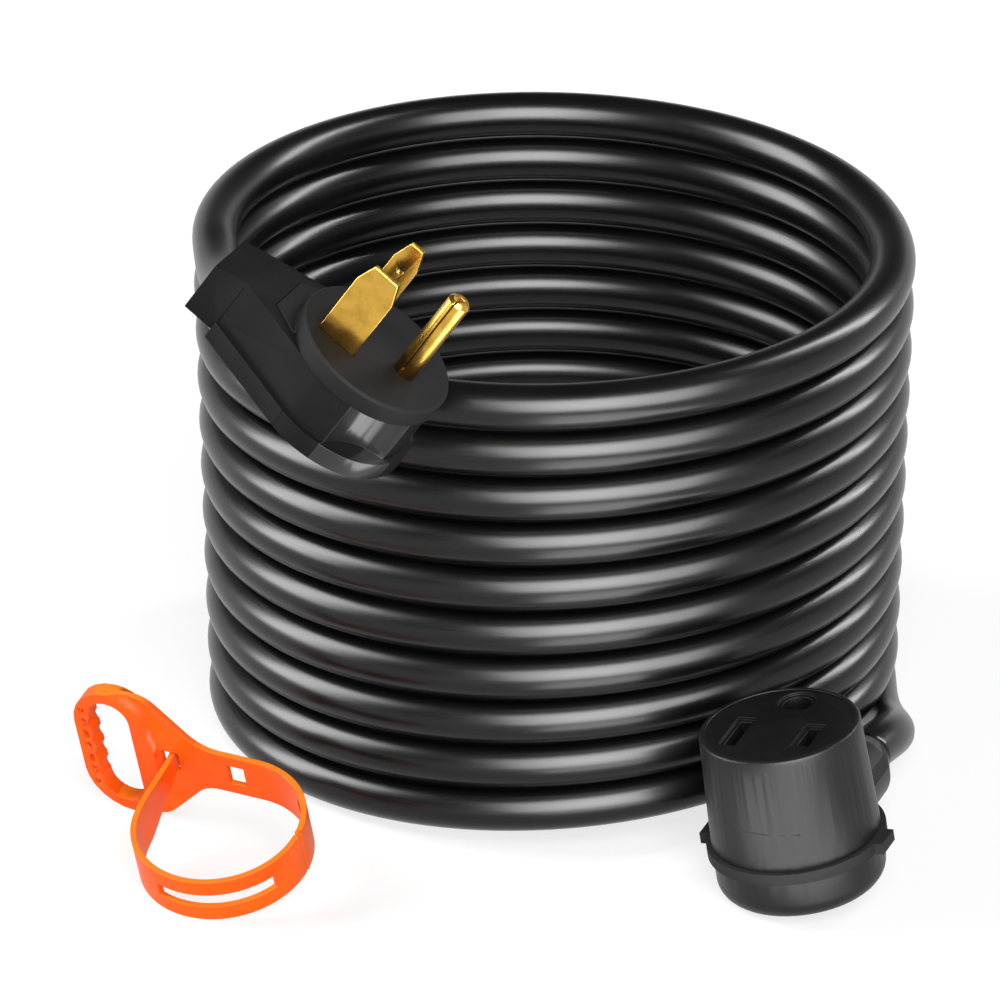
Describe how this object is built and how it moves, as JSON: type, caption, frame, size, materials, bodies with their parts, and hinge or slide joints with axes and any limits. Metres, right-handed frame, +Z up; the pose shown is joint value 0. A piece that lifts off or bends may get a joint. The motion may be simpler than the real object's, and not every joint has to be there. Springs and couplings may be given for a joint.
{
  "type": "shore power cord",
  "caption": "Coiled heavy-duty shore power cord with an angled moulded plug, an angled moulded connector and a loose carry strap with a handle.",
  "frame": {"origin": "on the floor, on the coil's axis", "axes": "+Z up along the coil's axis; -Y towards the front, where the connector and the strap lie; +X to the right seen from the front"},
  "size_m": [0.2491, 0.2601, 0.2008],
  "materials": {
    "jacket": "smooth glossy black vinyl cord jacket",
    "cover_rubber": "matte charcoal moulded rubbery vinyl with a fine grain",
    "insert_plastic": "hard near-black moulded plastic",
    "brass": "bright rolled and stamped brass with pale edges",
    "copper": "bare stranded copper",
    "wire_black": "black wire insulation",
    "wire_red": "red wire insulation",
    "wire_green": "green wire insulation",
    "strap_orange": "satin orange moulded plastic"
  },
  "bodies": {
    "cord": {"plug_body": "cover_rubber", "plug_carrier": "insert_plastic", "line_blade_1": "brass", "line_blade_2": "brass", "ground_pin": "brass", "plug_line_1_wire": "wire_black", "plug_line_2_wire": "wire_red", "plug_ground_wire": "wire_green", "plug_strands": "copper", "cord_plug_end": "jacket", "cord_coil": "jacket", "cord_connector_end": "jacket", "connector_body": "cover_rubber", "connector_back": "cover_rubber", "connector_face": "insert_plastic", "line_contact_1": "brass", "line_contact_2": "brass", "ground_contact": "brass", "connector_line_1_wire": "wire_black", "connector_line_2_wire": "wire_red", "connector_ground_wire": "wire_green", "connector_strands": "copper"},
    "strap": {"strap_handle": "strap_orange"},
    "strap_end": {"strap_tail": "strap_orange"}
  },
  "joints": [
    {"name": "strap_lift", "type": "slide", "parent": "cord", "child": "strap", "axis": [0, 0, 1], "range_m": [0, 0.12]},
    {"name": "strap_tail_flex", "type": "hinge", "parent": "strap", "child": "strap_end", "pos_m": [-0.07218, -0.12879, 0.00907], "axis": [-0.1445, -0.2836, 0.948], "range_deg": [0, 60]}
  ]
}
